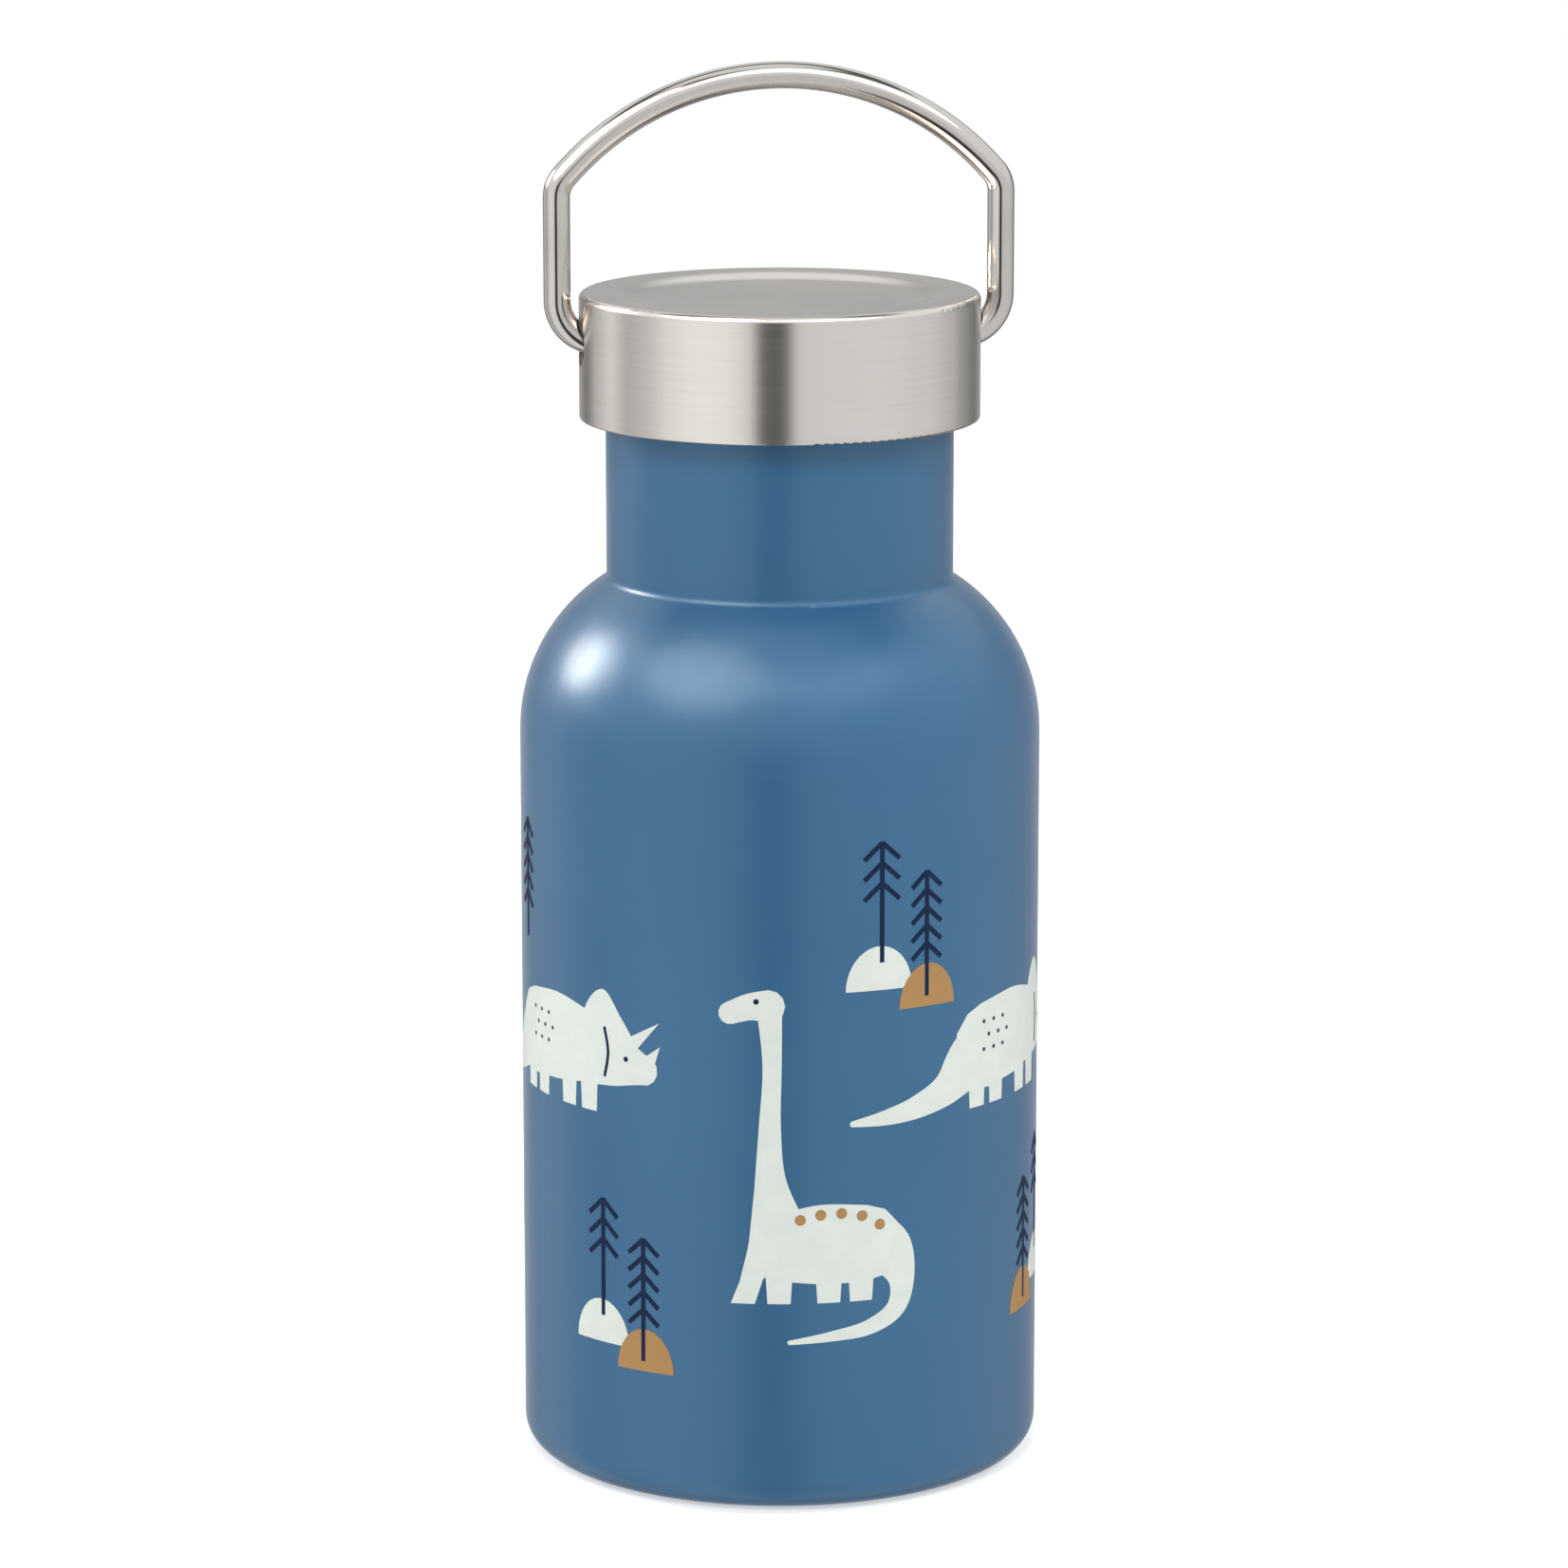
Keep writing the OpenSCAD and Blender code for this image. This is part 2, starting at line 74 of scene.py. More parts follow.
# Brightness of the sky above the panels, as (elevation in degrees, brightness), with a dark seam
SKY = [(0, 0.95), (50, 1.0), (56, 0.15), (66, 0.15), (73, 0.95), (90, 0.95)]
STUDIO_STRENGTH = 1.15
# The panels end this high at the front (sine of the elevation), and this much higher at the back
PANEL_TOP = (0.02, 0.22)
PANEL_RISE = 0.35

# Lamps: azimuth from the camera and elevation in degrees, distance, size, power, colour, and whether
# the lamp is seen in reflections and lights matt surfaces
WHITE = (1.0, 1.0, 1.0)
WARM = (1.0, 0.82, 0.72)
LAMPS = {
    "key": (-113, 25, 0.8, (0.32, 0.30), 4.5, WARM, True, False),
    "broad": (-47, 47, 0.9, (0.80, 0.66), 6.0, WARM, True, False),
    "sheen": (32, 50, 0.9, (0.90, 0.60), 1.9, WHITE, True, False),
    "left": (-105, 24, 0.8, (0.30, 0.30), 3.3, WHITE, False, True),
    "top": (-5, 44, 1.0, (0.26, 0.26), 3.8, WHITE, False, True),
    "right": (85, 40, 1.0, (0.50, 0.50), 4.2, WHITE, False, True),
}


def direction(azimuth, elevation):
    """Unit vector to a place in the studio, from degrees; azimuth is measured from the camera."""
    a = CAMERA_AZIMUTH + math.radians(azimuth)
    e = math.radians(elevation)
    return Vector((math.sin(a) * math.cos(e), -math.cos(a) * math.cos(e), math.sin(e)))


def link(obj):
    bpy.context.scene.collection.objects.link(obj)
    return obj


def make_camera():
    """Long lens a little above the lid, looking down as in the photo."""
    data = bpy.data.cameras.new("camera")
    data.lens = CAMERA_LENS
    data.sensor_width = SENSOR_WIDTH
    data.shift_x = CAMERA_SHIFT
    camera = link(bpy.data.objects.new("camera", data))
    camera.location = direction(0, 0) * CAMERA_DISTANCE + Vector((0, 0, CAMERA_HEIGHT))
    camera.rotation_euler = (math.pi / 2 - CAMERA_PITCH, 0, CAMERA_AZIMUTH)
    bpy.context.scene.camera = camera


def make_lamp(name, azimuth, elevation, distance, size, power, colour, glossy, diffuse):
    data = bpy.data.lights.new(name, "AREA")
    data.shape = "ELLIPSE"
    data.size, data.size_y = size
    data.energy = power
    data.color = colour
    light = link(bpy.data.objects.new(name, data))
    middle = (cad_low + cad_high) / 2
    light.location = middle + direction(azimuth, elevation) * distance
    light.rotation_euler = (middle - light.location).to_track_quat("-Z", "Y").to_euler()
    light.visible_glossy = glossy
    light.visible_diffuse = diffuse


def make_world():
    """White to the eye, and in reflections and light a ring of panels below a bright sky."""
    world = bpy.data.worlds.new("studio")
    bpy.context.scene.world = world
    world.use_nodes = True
    g = Graph(world.node_tree)
    g.tree.nodes.clear()
    coords = g.node("ShaderNodeTexCoord")
    turn = g.node("ShaderNodeVectorRotate", rotation_type="Z_AXIS")
    turn.inputs["Angle"].default_value = -CAMERA_AZIMUTH
    g.link(coords.outputs["Generated"], turn.inputs["Vector"])
    x, y, z = g.split(turn.outputs[0])
    azimuth = g.math("ARCTAN2", x, g.math("MULTIPLY", y, -1))
    place = g.math("MULTIPLY_ADD", azimuth, 0.5 / math.pi, 0.5)
    stops = [((a + 180) / 360, level) for a, level in PANELS]
    panels = g.ramp(place, [(p, (v, v, v)) for p, v in stops], "EASE")
    sky = g.ramp(z, [(math.sin(math.radians(e)), (v, v, v)) for e, v in SKY])
    rise = g.math("MULTIPLY", g.math("MAXIMUM", y, 0.0), PANEL_RISE)
    light = g.mix(g.map_range(g.math("SUBTRACT", z, rise), *PANEL_TOP), panels, sky)
    seen = g.node("ShaderNodeLightPath").outputs["Is Camera Ray"]
    studio = g.node("ShaderNodeBackground")
    studio.inputs["Strength"].default_value = STUDIO_STRENGTH
    g.link(light, studio.inputs["Color"])
    white = g.node("ShaderNodeBackground")
    white.inputs["Color"].default_value = (1, 1, 1, 1)
    both = g.node("ShaderNodeMixShader")
    g.link(seen, both.inputs[0])
    g.link(studio.outputs[0], both.inputs[1])
    g.link(white.outputs[0], both.inputs[2])
    g.link(both.outputs[0], g.node("ShaderNodeOutputWorld").inputs["Surface"])


# ------------------------------------------------------------------ node graphs

class Graph:
    """Short calls for a node tree. Coordinates are object coordinates, in metres."""

    def __init__(self, tree):
        self.tree = tree

    def node(self, kind, **settings):
        n = self.tree.nodes.new(kind)
        for key, value in settings.items():
            setattr(n, key, value)
        return n

    def link(self, output, socket):
        self.tree.links.new(output, socket)

    def feed(self, socket, value):
        if isinstance(value, bpy.types.NodeSocket):
            self.link(value, socket)
        elif isinstance(value, tuple) and len(value) == 3 and socket.type == "RGBA":
            socket.default_value = (*value, 1)
        else:
            socket.default_value = value

    def math(self, operation, *values):
        n = self.node("ShaderNodeMath", operation=operation)
        for socket, value in zip(n.inputs, values):
            self.feed(socket, value)
        return n.outputs[0]

    def split(self, vector):
        n = self.node("ShaderNodeSeparateXYZ")
        self.link(vector, n.inputs[0])
        return n.outputs

    def join(self, x, y, z):
        n = self.node("ShaderNodeCombineXYZ")
        for socket, value in zip(n.inputs, (x, y, z)):
            self.feed(socket, value)
        return n.outputs[0]

    def ramp(self, value, stops, interpolation="LINEAR"):
        n = self.node("ShaderNodeValToRGB")
        n.color_ramp.interpolation = interpolation
        elements = n.color_ramp.elements
        while len(elements) < len(stops):
            elements.new(0.5)
        for element, (place, colour) in zip(elements, stops):
            element.position = place
            element.color = (*colour, 1)
        self.link(value, n.inputs[0])
        return n.outputs[0]

    def map_range(self, value, low, high, to_low=0.0, to_high=1.0):
        n = self.node("ShaderNodeMapRange")
        for socket, v in zip(n.inputs, (value, low, high, to_low, to_high)):
            self.feed(socket, v)
        return n.outputs[0]

    def mix(self, factor, a, b):
        n = self.node("ShaderNodeMix", data_type="RGBA")
        self.feed(n.inputs["Factor"], factor)
        self.feed(n.inputs[6], a)
        self.feed(n.inputs[7], b)
        return n.outputs[2]

    def coords(self):
        return self.node("ShaderNodeTexCoord").outputs["Object"]

    def noise(self, vector, size, detail=2.0, distortion=0.0):
        """Noise with features about size metres wide, from 0 to 1."""
        n = self.node("ShaderNodeTexNoise")
        self.feed(n.inputs["Vector"], vector)
        n.inputs["Scale"].default_value = 1 / size
        n.inputs["Detail"].default_value = detail
        n.inputs["Distortion"].default_value = distortion
        return n.outputs["Fac"]

    def bump(self, height, distance, strength=1.0, normal=None):
        """Bump of the given height in metres."""
        n = self.node("ShaderNodeBump")
        n.inputs["Strength"].default_value = strength
        n.inputs["Distance"].default_value = distance
        self.feed(n.inputs["Height"], height)
        if normal is not None:
            self.link(normal, n.inputs["Normal"])
        return n.outputs[0]


def new_material(name, **settings):
    """A material with one Principled shader: sockets by name, with _ for a space."""
    material = bpy.data.materials.new(name)
    material.use_nodes = True
    g = Graph(material.node_tree)
    shader = material.node_tree.nodes["Principled BSDF"]
    for key, value in settings.items():
        g.feed(shader.inputs[key.replace("_", " ")], value)
    return material, g, shader.inputs


# ------------------------------------------------------------------ materials

COAT_BLUE = (0.017, 0.078, 0.166)
COAT_BLUE_DEEP = (0.015, 0.074, 0.158)
COAT_TINT = (0.55, 0.79, 0.96)
STEEL = (0.66, 0.635, 0.60)
STEEL_DARK = (0.52, 0.50, 0.475)
BAIL_STEEL = (0.56, 0.54, 0.515)


def coat_material():
    """Satin powder coat: fine orange peel, faint cloudiness and a soft tinted gloss."""
    m, g, s = new_material(
        "blue_coat",
        Specular_IOR_Level=0.9,
        Specular_Tint=COAT_TINT,
        Sheen_Weight=0.22,
        Sheen_Roughness=0.3,
    )
    where = g.coords()
    cloud = g.noise(where, 30 * MM, 3)
    g.link(g.ramp(cloud, [(0.35, COAT_BLUE_DEEP), (0.65, COAT_BLUE)]), s["Base Color"])
    g.link(g.map_range(g.noise(where, 4 * MM, 4), 0.3, 0.7, 0.30, 0.35), s["Roughness"])
    peel = g.bump(g.noise(where, 0.9 * MM, 1), 0.004 * MM, 0.8)
    grain = g.bump(g.noise(where, 0.15 * MM, 2), 0.0008 * MM, 0.6, peel)
    g.link(grain, s["Normal"])
    return m


def ring_coords(g):
    """Coordinates that are short across a turned or brushed line and long along it."""
    along = 25 * MM
    x, y, z = g.split(g.coords())
    radius = g.math("SQRT", g.math("ADD", g.math("MULTIPLY", x, x), g.math("MULTIPLY", y, y)))
    across = g.math("SUBTRACT", z, radius)
    return g.join(g.math("DIVIDE", x, along), g.math("DIVIDE", y, along), across)


def brushed_steel(name, colour, line, depth, rough, anisotropic):
    """Steel brushed round the Z axis; line is the width of a brush line and depth its bump."""
    m, g, s = new_material(name, Metallic=1.0, Anisotropic=anisotropic, Anisotropic_Rotation=0.25)
    x, y, across = g.split(ring_coords(g))
    lines = g.noise(g.join(x, y, g.math("DIVIDE", across, line)), 1.0, 3)
    bands = g.noise(g.join(x, y, g.math("DIVIDE", across, 6 * line)), 1.0, 2)
    tone = g.math("MULTIPLY_ADD", bands, 0.4, g.math("MULTIPLY", lines, 0.6))
    dark = tuple(c * 0.95 for c in colour)
    g.link(g.ramp(tone, [(0.3, dark), (0.7, colour)]), s["Base Color"])
    g.link(g.map_range(tone, 0.3, 0.7, rough * 0.92, rough * 1.08), s["Roughness"])
    g.link(g.bump(lines, depth), s["Normal"])
    tangent = g.node("ShaderNodeTangent", direction_type="RADIAL", axis="Z")
    g.link(tangent.outputs[0], s["Tangent"])
    return m


def polished_steel():
    """Polished bar: nearly a mirror, with faint haze and fine scratches."""
    m, g, s = new_material("polished_steel", Metallic=1.0)
    where = g.coords()
    haze = g.noise(where, 6 * MM, 4)
    g.link(g.ramp(haze, [(0.3, STEEL_DARK), (0.6, BAIL_STEEL)]), s["Base Color"])
    g.link(g.map_range(haze, 0.3, 0.7, 0.07, 0.12), s["Roughness"])
    scratch = g.noise(where, 0.12 * MM, 3, 2.0)
    g.link(g.bump(scratch, 0.0003 * MM, 0.5), s["Normal"])
    return m


def moulded_plastic(name, colour, rough=0.42, subsurface=0.0):
    """Moulded plastic or rubber: even colour with slight flow marks and a fine spark texture."""
    m, g, s = new_material(name, Subsurface_Weight=subsurface, Subsurface_Scale=1.5 * MM)
    where = g.coords()
    flow = g.noise(where, 7 * MM, 3, 1.0)
    dark = tuple(c * 0.92 for c in colour)
    g.link(g.ramp(flow, [(0.3, dark), (0.7, colour)]), s["Base Color"])
    g.link(g.map_range(flow, 0.3, 0.7, rough - 0.05, rough + 0.05), s["Roughness"])
    g.link(g.bump(g.noise(where, 0.25 * MM, 2), 0.002 * MM), s["Normal"])
    return m


def foam_material():
    """Moulded foam with small open cells, each painted darker towards its pit as painted shade."""
    m, g, s = new_material("plug_foam", Roughness=0.9)
    where = g.coords()
    cells = g.node("ShaderNodeTexVoronoi")
    cells.inputs["Scale"].default_value = 1 / (0.5 * MM)
    g.link(where, cells.inputs["Vector"])
    # Painted shade: the colour is darkest at each cell's centre, where the bump makes the pit deepest.
    colours = [(0.0, (0.45, 0.40, 0.24)), (0.4, (0.74, 0.69, 0.48))]
    g.link(g.ramp(cells.outputs["Distance"], colours), s["Base Color"])
    g.link(g.bump(cells.outputs["Distance"], 0.1 * MM), s["Normal"])
    return m


def foil_material():
    """Copper-coloured foil with pressed creases."""
    m, g, s = new_material("copper_foil", Metallic=1.0)
    where = g.coords()
    crease = g.noise(where, 5 * MM, 5, 1.5)
    g.link(g.ramp(crease, [(0.3, (0.52, 0.25, 0.14)), (0.7, (0.72, 0.40, 0.24))]), s["Base Color"])
    g.link(g.map_range(crease, 0.3, 0.7, 0.2, 0.38), s["Roughness"])
    g.link(g.bump(crease, 0.25 * MM), s["Normal"])
    return m


def glass_material():
    """Bead of sealing glass, green and a little cloudy."""
    m, g, s = new_material("sealing_glass", Roughness=0.08, Transmission_Weight=0.35, IOR=1.52)
    where = g.coords()
    cloud = g.noise(where, 1.5 * MM, 3)
    g.link(g.ramp(cloud, [(0.3, (0.10, 0.20, 0.15)), (0.7, (0.22, 0.36, 0.28))]), s["Base Color"])
    g.link(g.bump(g.noise(where, 0.8 * MM, 2), 0.02 * MM), s["Normal"])
    return m


def getter_material():
    """Pressed metal powder, dull and grainy."""
    m, g, s = new_material("pressed_powder", Metallic=0.7, Roughness=0.68)
    grain = g.noise(g.coords(), 0.12 * MM, 4)
    g.link(g.ramp(grain, [(0.3, (0.09, 0.09, 0.09)), (0.7, (0.22, 0.22, 0.21))]), s["Base Color"])
    g.link(g.bump(grain, 0.03 * MM), s["Normal"])
    return m


def ink_material(name, colour, worn):
    """Screen-printed ink: a little uneven in tone, with pinholes in its fine grain."""
    m, g, s = new_material(name, Specular_IOR_Level=0.12)
    where = g.coords()
    tone = g.noise(where, 3 * MM, 4)
    speck = g.noise(where, 0.22 * MM, 2)
    even = g.ramp(tone, [(0.3, tuple(c * 0.94 for c in colour)), (0.7, colour)])
    g.link(g.mix(g.map_range(speck, 0.70, 0.76), even, worn), s["Base Color"])
    g.link(g.map_range(tone, 0.3, 0.7, 0.36, 0.44), s["Roughness"])
    g.link(g.bump(speck, 0.003 * MM), s["Normal"])
    return m


def floor_material():
    """Pale matt studio paper."""
    m, g, s = new_material("studio_paper", Roughness=0.8, Emission_Color=(1, 1, 1),
                           Emission_Strength=0.50)
    tone = g.noise(g.coords(), 0.4, 3)
    g.link(g.ramp(tone, [(0.3, (0.54, 0.54, 0.54)), (0.7, (0.57, 0.57, 0.57))]), s["Base Color"])
    g.link(g.bump(g.noise(g.coords(), 0.6 * MM, 2), 0.01 * MM), s["Normal"])
    return m


def paint_nodes():
    """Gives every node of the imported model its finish."""
    steel_in = brushed_steel("vessel_steel", STEEL, 0.25 * MM, 0.002 * MM, 0.30, 0.3)
    steel_base = brushed_steel("base_steel", STEEL, 0.15 * MM, 0.002 * MM, 0.30, 0.5)
    plastic = moulded_plastic("core_plastic", (0.80, 0.80, 0.77), 0.40, 0.15)
    bushes = moulded_plastic("bush_plastic", (0.16, 0.17, 0.18), 0.45)
    finishes = {
        "outer_shell": coat_material(),
        "base_cover": steel_base,
        "vacuum_base": steel_in,
        "vacuum_seal": glass_material(),
        "getter_tray": steel_in,
        "getter": getter_material(),
        "heat_foil": foil_material(),
        "inner_liner": steel_in,
        "liner_base": steel_in,
        "lid_cap": brushed_steel("lid_steel", STEEL, 0.08 * MM, 0.0009 * MM, 0.22, 0.6),
        "lid_core": plastic,
        "core_foam": foam_material(),
        "core_cover": plastic,
        "lid_gasket": moulded_plastic("silicone", (0.78, 0.76, 0.70), 0.34, 0.3),
        "bush_left": bushes,
        "bush_right": bushes,
        "bail_handle": polished_steel(),
    }
    for name, material in finishes.items():
        for material_slot in nodes[name].material_slots:
            material_slot.material = material


# ------------------------------------------------------------------ print

BODY_R = cad_high.x
INK_LIGHT = (0.50, 0.54, 0.505)
INK_OCHRE = (0.30, 0.17, 0.065)
INK_NAVY = (0.003, 0.012, 0.042)
# How far each ink stands off the coat; a later ink lies over an earlier one
INK_HEIGHT = {"print_light": 0.03 * MM, "print_ochre": 0.045 * MM, "print_navy": 0.06 * MM}
# How far an ink's foot lies below the coat's surface
INK_ROOT = 0.05 * MM
# Width in mm of the strips that the ink is cut into, so that it follows the round wall
INK_STRIP = 1.0
# Distances in mm within which points become one, in a cut and in a union of outlines
CUT_SNAP = 1e-4
UNION_SNAP = 1e-5
# Edges that turn more than this are shaded sharp
SHARP_EDGE = math.radians(30)

# Where the motifs stand: kind, left edge and foot in mm (round the wall from the front, and above
# the base), and whether it is mirrored
LAYOUT = [
    ("long_neck", -8.5, 23, False),
    ("long_neck", 65, 22, False),
    ("long_neck", 138, 24, False),
    ("three_horned", 8.9, 52.8, False),
    ("three_horned", 83, 51, False),
    ("three_horned", -64, 52.7, False),
    ("tree_pair", 8.6, 68, False),
    ("tree_pair", -30.8, 18.3, False),
    ("tree_pair", 38.4, 22, True),
    ("fir", -45.4, 73, False),
    ("tree_pair", 86, 73, False),
    ("tree_pair", 113, 20, True),
]


def dot(x, y, radius, count):
    """Outline of a round dot with count corners."""
    turns = [2 * math.pi * i / count for i in range(count)]
    return [(x + radius * math.cos(a), y + radius * math.sin(a)) for a in turns]


def spline(stations, steps=8):
    """Points of a Catmull-Rom curve through the stations, which may have any number of values."""
    ends = [stations[0], *stations, stations[-1]]
    points = []
    for p0, p1, p2, p3 in zip(ends, ends[1:], ends[2:], ends[3:]):
        for i in range(steps):
            t = i / steps
            points.append(tuple(
                0.5 * (2 * b + (c - a) * t + (2 * a - 5 * b + 4 * c - d) * t * t
                       + (3 * b - a - 3 * c + d) * t ** 3)
                for a, b, c, d in zip(p0, p1, p2, p3)))
    points.append(stations[-1])
    return points


def round_end(x, y, width, angle):
    """Points round the end of a stroke, turning to the right from the angle."""
    steps = 6
    turns = [angle - math.pi * k / steps for k in range(1, steps)]
    return [(x + width / 2 * math.cos(a), y + width / 2 * math.sin(a)) for a in turns]


def limb(*stations):
    """Outline of a smooth stroke through (x, y, width) stations, with round ends."""
    line = spline(stations)
    left, right = [], []
    for i, (x, y, width) in enumerate(line):
        before, after = line[max(i - 1, 0)], line[min(i + 1, len(line) - 1)]
        angle = math.atan2(after[1] - before[1], after[0] - before[0])
        nx, ny = -math.sin(angle) * width / 2, math.cos(angle) * width / 2
        left.append((x + nx, y + ny))
        right.append((x - nx, y - ny))
        if i == 0:
            first = angle
        last = angle
    end = round_end(*line[-1], last + math.pi / 2)
    start = round_end(*line[0], first - math.pi / 2)
    return left + end + right[::-1] + start


def leg(x, top, foot, width):
    """Short straight leg that narrows to a flat foot."""
    return [(x - width / 2, top), (x - width * 0.4, foot), (x + width * 0.4, foot), (x + width / 2, top)]


def stroke(x0, y0, x1, y1, width):
    """Outline of a straight stroke with flat ends."""
    angle = math.atan2(y1 - y0, x1 - x0)
    nx, ny = -math.sin(angle) * width / 2, math.cos(angle) * width / 2
    return [(x0 + nx, y0 + ny), (x0 - nx, y0 - ny), (x1 - nx, y1 - ny), (x1 + nx, y1 + ny)]


def long_neck():
    """Plain long-necked dinosaur, 29 mm wide and 49 mm high."""
    light = [
        limb((8.8, 13.6, 9.2), (14, 14.0, 10.8), (20, 13.8, 10.4)),
        limb((8.6, 15, 8), (7.3, 22.5, 4.2), (7.2, 30, 2.9), (7.5, 38, 2.5), (7.2, 45, 3.2)),
        limb((7.0, 46.3, 4.4), (4.6, 46.2, 3.6), (1.9, 45.3, 3.0)),
        limb((19.0, 13.9, 10.2), (23.2, 12.4, 7.4), (25.2, 8.6, 4.0), (24.4, 4.6, 2.8), (20.6, 2.3, 2.1),
             (15.5, 1.4, 1.4), (9.8, 0.7, 0.6)),
        [(5.3, 23), (4.4, 14), (3.2, 9), (2.0, 6), (5.2, 6), (6.3, 9.4), (9, 12), (9, 23)],
    ]
    light += [leg(x, 12, 6, 3.8) for x in (8.4, 15.0, 19.4)]
    spots = [(11.2, 17.4), (13.9, 18.0), (16.7, 18.1), (19.5, 17.6), (22.0, 16.2)]
    return {"print_light": light,
            "print_ochre": [dot(x, y, 0.75, 14) for x, y in spots],
            "print_navy": [dot(5.4, 46.9, 0.38, 12)]}


def three_horned():
    """Plain three-horned dinosaur that looks right, 48 mm long and 17 mm high."""
    light = [
        limb((22, 8.2, 11.6), (29, 8.8, 11.8), (35, 8.6, 10)),
        limb((24, 8.0, 12.0), (18.8, 6.4, 8.6), (14.6, 3.4, 4.8), (10, 1.7, 3.2), (5.5, 0.8, 2.1),
             (0.8, 0.3, 0.8)),
        spline([(35.2, 4), (34.2, 9.5), (35.4, 14.4), (38.6, 16.8), (41.6, 13.4), (44.6, 9.2)]),
        limb((37, 7.4, 7.4), (41.5, 7.4, 6.6), (45.2, 6.8, 4.2)),
        [(40.4, 9.6), (43.6, 8.8), (47.6, 13.4)],
        [(44.6, 8.0), (46.8, 7.4), (47.7, 10.2)],
    ]
    light += [leg(x, 8, 0, 3.6) for x in (20.6, 24.8, 31.6, 35.8)]
    dots = [(22.0 + 2.2 * i + 1.1 * (j % 2), 7.6 + 1.9 * j) for j in range(3) for i in range(3)]
    arc = limb((38.8, 5.2, 0.45), (39.4, 8.4, 0.45), (38.8, 11.6, 0.45))
    return {"print_light": light,
            "print_navy": [dot(x, y, 0.28, 10) for x, y in dots]
            + [dot(42.4, 7.9, 0.36, 12), arc]}


def tree(x, foot, height, levels, gap, reach):
    """Trunk with pairs of branches that slope down, as strokes."""
    top = foot + height
    width = 0.62
    strokes = [stroke(x, foot, x, top, width)]
    for i in range(levels):
        y = top - i * gap
        for side in (-1, 1):
            strokes.append(stroke(x, y, x + side * reach, y - reach * 0.9, width))
    return strokes


def mound(x, foot, width, height):
    """Half-round hill with a flat foot."""
    steps = 20
    return [(x + width / 2 * math.cos(math.pi * i / steps), foot + height * math.sin(math.pi * i / steps))
            for i in range(steps + 1)]


def fir():
    """One fir tree."""
    return {"print_navy": tree(0, 0, 16, 5, 2.4, 2.3)}


def tree_pair():
    """Two fir trees, each on its own hill."""
    return {"print_light": [mound(4.8, 2.9, 9.4, 5.9)],
            "print_ochre": [mound(12.0, 0, 8.7, 5.8)],
            "print_navy": tree(5.1, 6.6, 16, 3, 2.7, 2.5) + tree(11.8, 1.4, 16.7, 5, 2.4, 2.3)}


MOTIFS = {"long_neck": long_neck, "three_horned": three_horned, "tree_pair": tree_pair, "fir": fir}
# Width of each motif's drawing in mm, about which it is mirrored
MOTIF_WIDTH = {"long_neck": 29, "three_horned": 48, "tree_pair": 16, "fir": 0}


def placed(outline, kind, left, foot, mirrored):
    """Outline moved from its motif's own place to its place on the wall."""
    if mirrored:
        outline = [(MOTIF_WIDTH[kind] - x, y) for x, y in outline]
    return [(left + x, foot + y) for x, y in outline]


def area(outline):
    """Area inside an outline, negative where it runs clockwise."""
    return 0.5 * sum(a[0] * b[1] - b[0] * a[1] for a, b in zip(outline, outline[1:] + outline[:1]))


def flat_union(outlines):
    """Triangles of the union of closed outlines."""
    verts, faces = [], []
    for outline in outlines:
        ring = outline if area(outline) > 0 else outline[::-1]
        faces.append(list(range(len(verts), len(verts) + len(ring))))
        verts += [Vector(p) for p in ring]
    inside_only = 1
    out = delaunay_2d_cdt(verts, [], faces, inside_only, UNION_SNAP)
    return out[0], out[2]


def flat_ink(motifs):
    """Flat mesh of the motifs in mm, with x round the wall and y up it."""
    bm = bmesh.new()
    for outlines in motifs:
        points, triangles = flat_union(outlines)
        verts = [bm.verts.new((p[0], p[1], 0)) for p in points]
        for triangle in triangles:
            bm.faces.new([verts[i] for i in triangle])
    loose = [v for v in bm.verts if not v.link_faces]
    bmesh.ops.delete(bm, geom=loose, context="VERTS")
    return bm


def cut_strips(bm):
    """Cuts a flat mesh into upright strips, narrow enough to follow the round wall."""
    left = min(v.co.x for v in bm.verts)
    right = max(v.co.x for v in bm.verts)
    for i in range(1, math.ceil((right - left) / INK_STRIP)):
        everything = [*bm.verts, *bm.edges, *bm.faces]
        cut = (left + i * INK_STRIP, 0, 0)
        bmesh.ops.bisect_plane(bm, geom=everything, dist=CUT_SNAP, plane_co=cut, plane_no=(1, 0, 0))


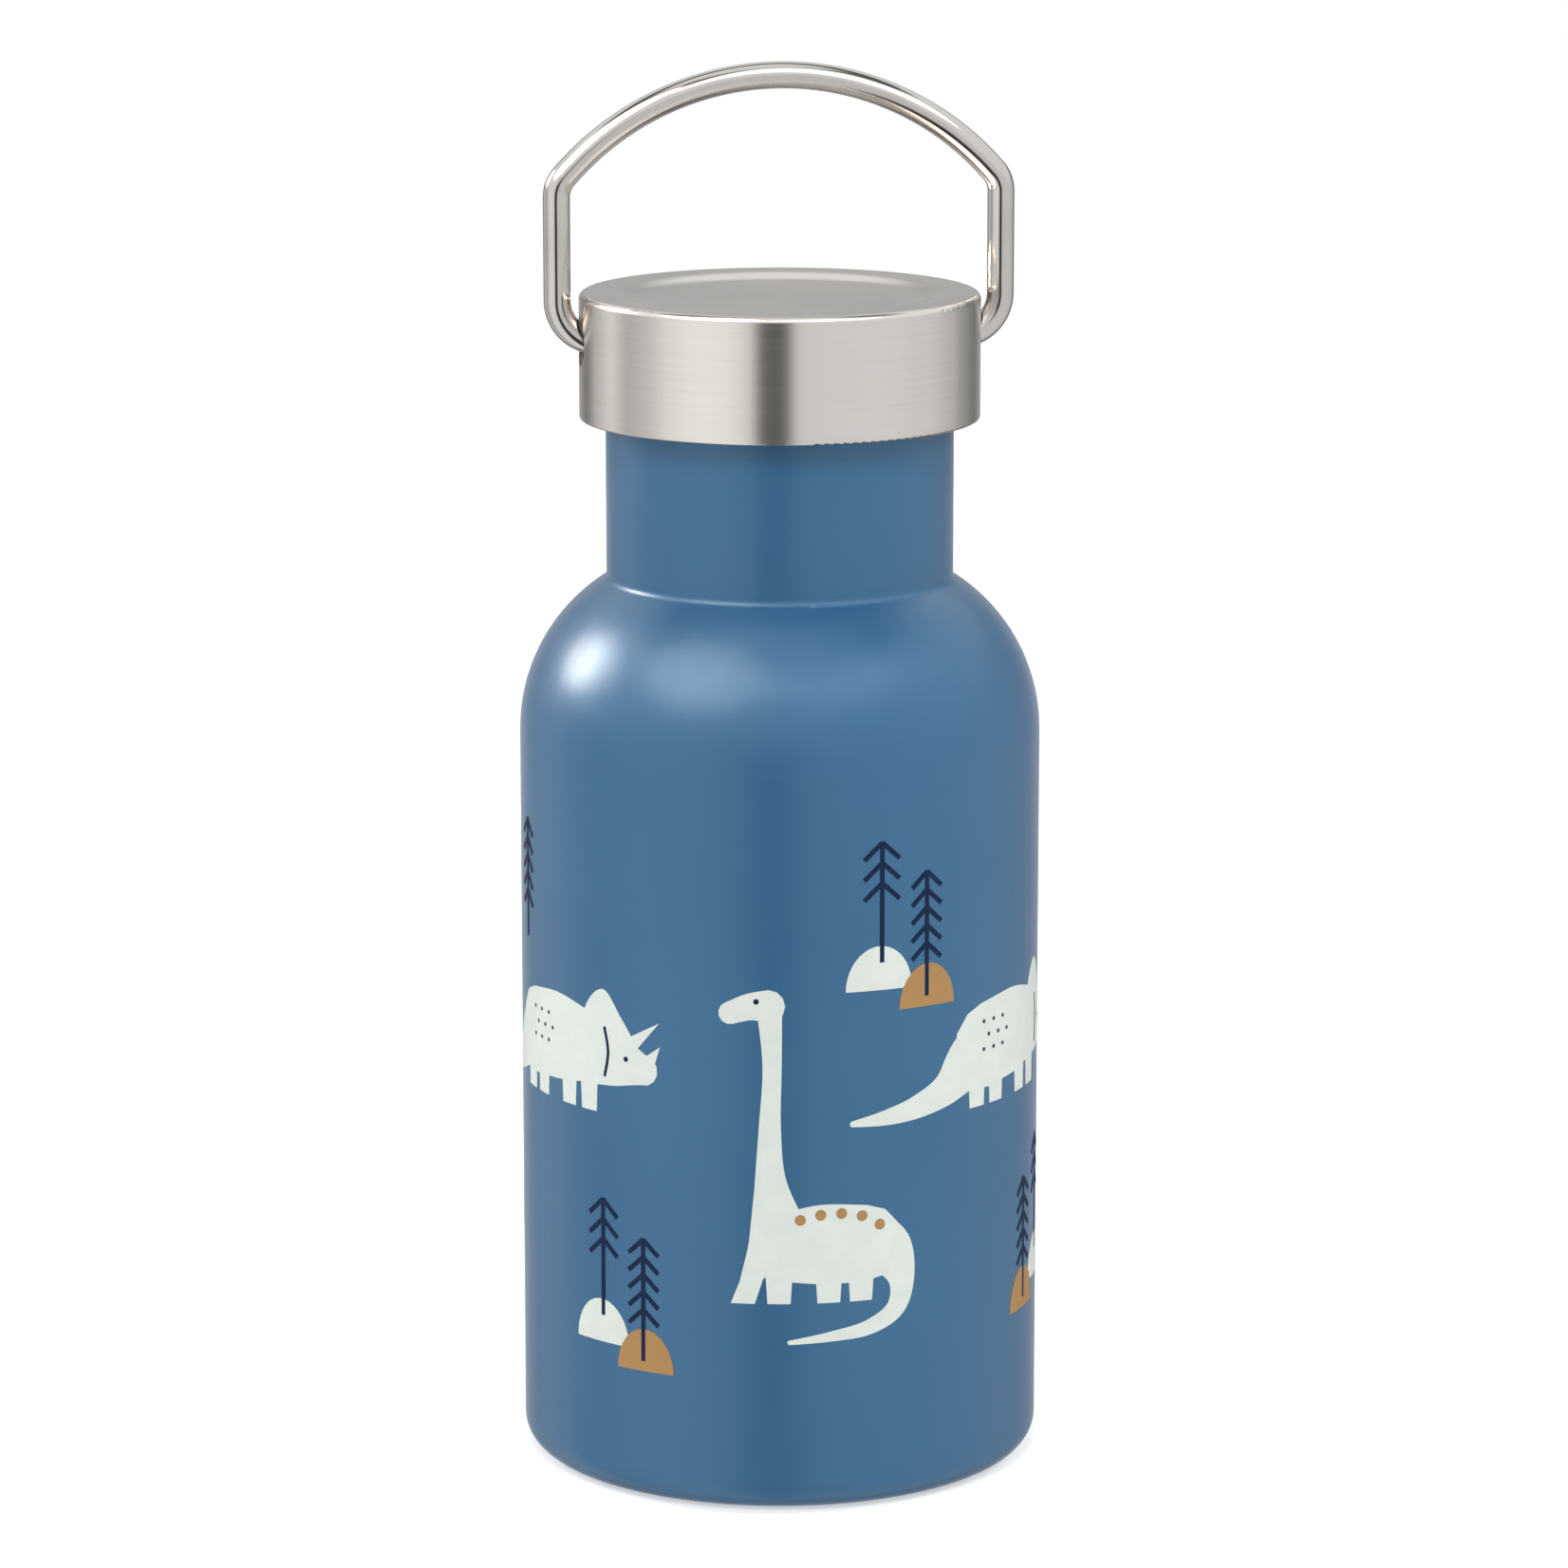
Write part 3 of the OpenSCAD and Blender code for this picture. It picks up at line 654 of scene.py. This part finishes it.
def raise_on_wall(bm, height):
    """Gives a flat mesh its thickness and wraps it round the wall, in metres."""
    bmesh.ops.recalc_face_normals(bm, faces=bm.faces)
    for face in bm.faces:
        if face.normal.z < 0:
            face.normal_flip()
    raised = bmesh.ops.extrude_face_region(bm, geom=list(bm.faces))
    tops = {g for g in raised["geom"] if isinstance(g, bmesh.types.BMVert)}
    for v in bm.verts:
        radius = BODY_R + (height if v in tops else -INK_ROOT)
        angle = CAMERA_AZIMUTH + v.co.x * MM / BODY_R
        v.co = (radius * math.sin(angle), -radius * math.cos(angle), v.co.y * MM)
    bmesh.ops.recalc_face_normals(bm, faces=bm.faces)


def ink_piece(name, motifs):
    """One printed colour: thin closed islands of ink that follow the round wall."""
    bm = flat_ink(motifs)
    cut_strips(bm)
    raise_on_wall(bm, INK_HEIGHT[name])
    for face in bm.faces:
        face.smooth = True
    for edge in bm.edges:
        edge.smooth = edge.calc_face_angle(0) < SHARP_EDGE
    mesh = bpy.data.meshes.new(name)
    bm.to_mesh(mesh)
    bm.free()
    return link(bpy.data.objects.new(name, mesh))


def make_print():
    """The three printed colours, each one piece on the bottle's wall."""
    inks = {"print_light": ink_material("light_ink", INK_LIGHT, (0.30, 0.38, 0.42)),
            "print_ochre": ink_material("ochre_ink", INK_OCHRE, (0.22, 0.17, 0.13)),
            "print_navy": ink_material("navy_ink", INK_NAVY, (0.03, 0.07, 0.13))}
    for ink, material in inks.items():
        motifs = []
        for kind, left, foot, mirrored in LAYOUT:
            outlines = MOTIFS[kind]().get(ink)
            if outlines:
                motifs.append([placed(o, kind, left, foot, mirrored) for o in outlines])
        piece = ink_piece(ink, motifs)
        piece.data.materials.append(material)
        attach(piece, "bottle")


# ------------------------------------------------------------------ stage

def make_floor():
    """Round sheet of studio paper just below the bottle, unseen in its reflections."""
    bm = bmesh.new()
    bmesh.ops.create_circle(bm, cap_ends=True, segments=96, radius=FLOOR_RADIUS)
    mesh = bpy.data.meshes.new("floor")
    bm.to_mesh(mesh)
    bm.free()
    floor = link(bpy.data.objects.new("floor", mesh))
    floor.location.z = -FLOOR_DROP
    floor.visible_glossy = False
    mesh.materials.append(floor_material())


bpy.context.scene.view_settings.view_transform = "Standard"
make_camera()
make_world()
for lamp, setting in LAMPS.items():
    make_lamp(lamp, *setting)
make_floor()
paint_nodes()
make_print()
